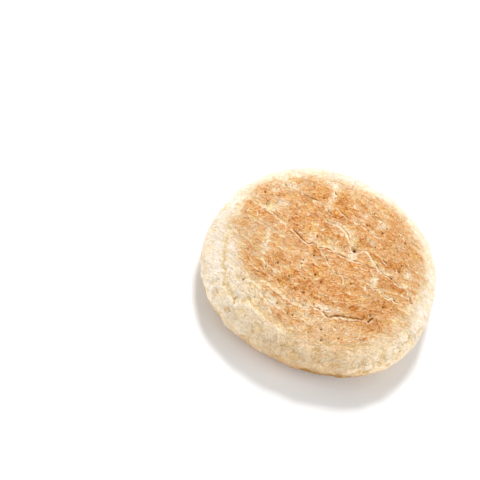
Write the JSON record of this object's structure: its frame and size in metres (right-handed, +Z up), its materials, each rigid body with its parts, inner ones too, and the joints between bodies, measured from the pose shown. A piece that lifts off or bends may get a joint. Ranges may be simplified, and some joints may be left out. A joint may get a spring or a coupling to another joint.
{
  "type": "griddle flatbread",
  "caption": "Round griddle bread, whole and unsplit: a thick disc with a soft pale rim and a browned, creased top, lying flat",
  "frame": {"origin": "on the floor, under the middle of the bread's bounding box", "axes": "+Z up through the bread's thickness, -Y towards the rim that is nearest in the picture, +X to the right"},
  "size_m": [0.1128, 0.1144, 0.026],
  "materials": {
    "crust": "matte baked crust, golden brown on both flat faces, pale and floury round the rim"
  },
  "bodies": {
    "root": {"flatbread": "crust"}
  },
  "joints": []
}
